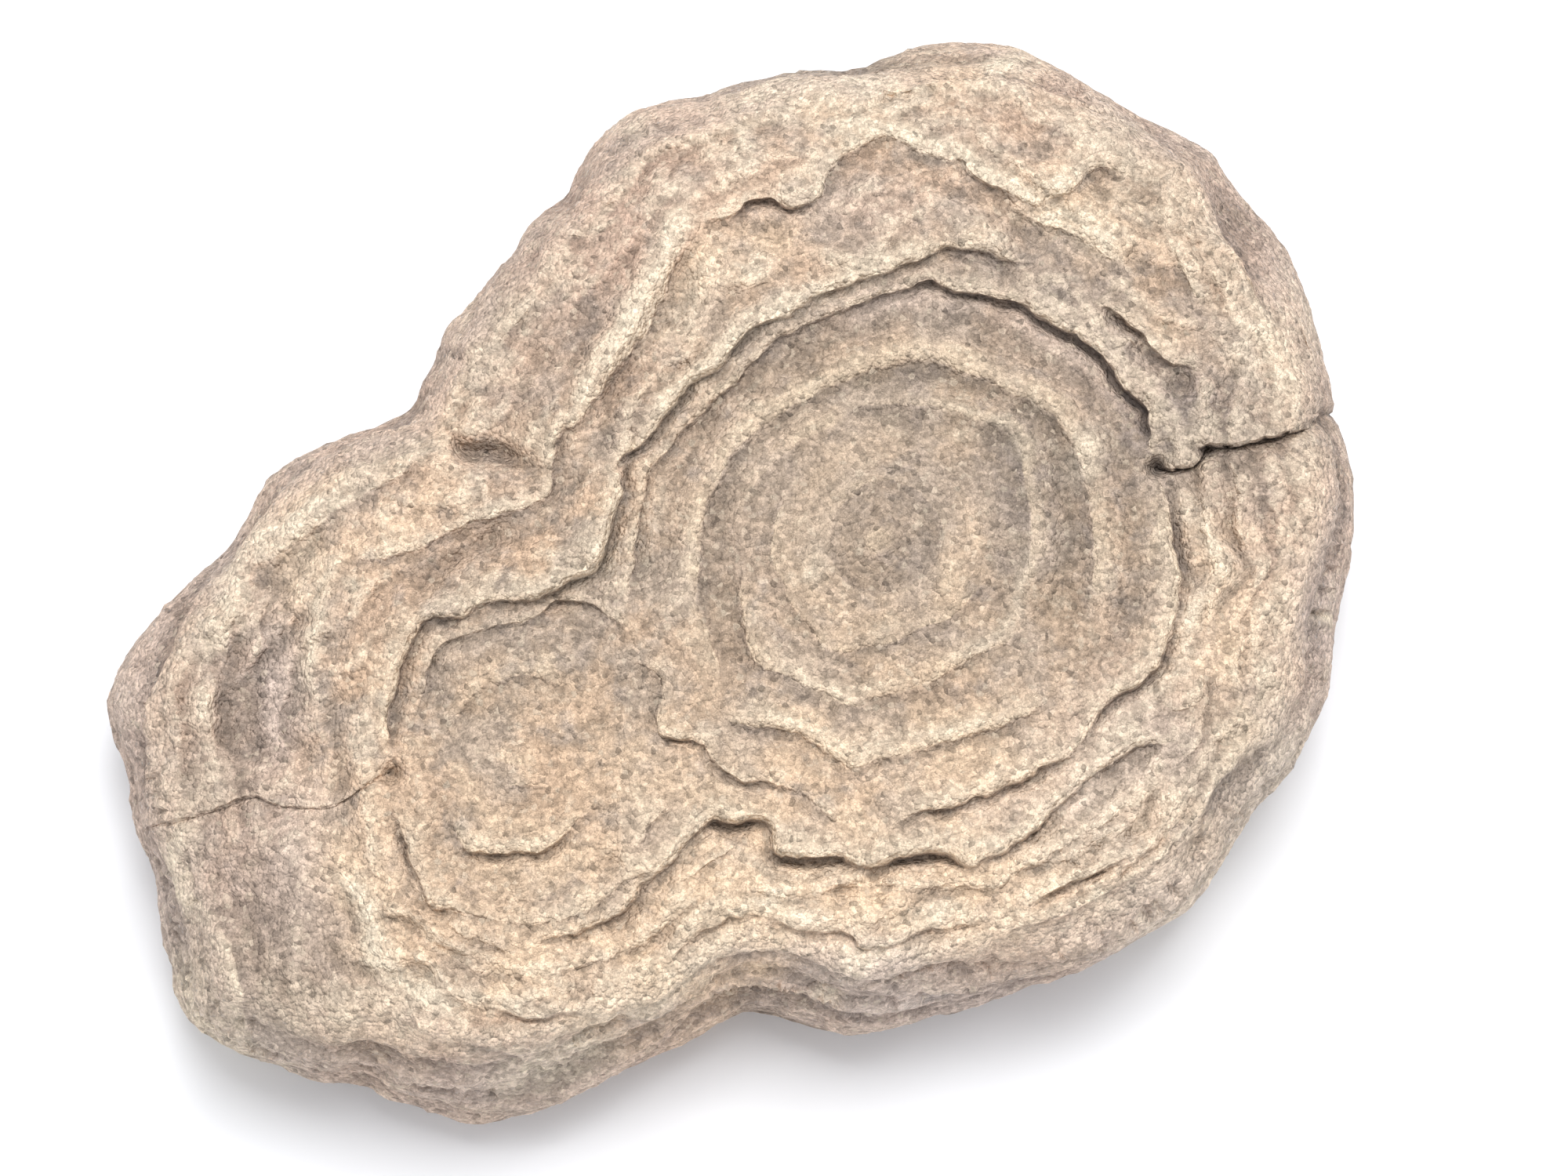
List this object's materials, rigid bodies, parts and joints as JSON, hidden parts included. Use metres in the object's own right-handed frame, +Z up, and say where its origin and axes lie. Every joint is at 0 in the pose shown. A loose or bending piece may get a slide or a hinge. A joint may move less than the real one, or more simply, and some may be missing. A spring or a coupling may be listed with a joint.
{
  "type": "stromatolite",
  "caption": "Flat-based hand specimen of layered fossil rock: two low domes grown together, with stepped ring-shaped ledges on top and a fracture across it.",
  "frame": {"origin": "centre of the flat underside, on the surface that the stone rests on", "axes": "+Z up out of the domed face, +X towards the right of the large dome as seen from the front, +Y towards the back"},
  "size_m": [0.2102, 0.191, 0.0565],
  "materials": {
    "stone": "matt, sandy, tan to grey-brown rock with paler edges on its layers"
  },
  "bodies": {
    "root": {"stromatolite": "stone"}
  },
  "joints": []
}
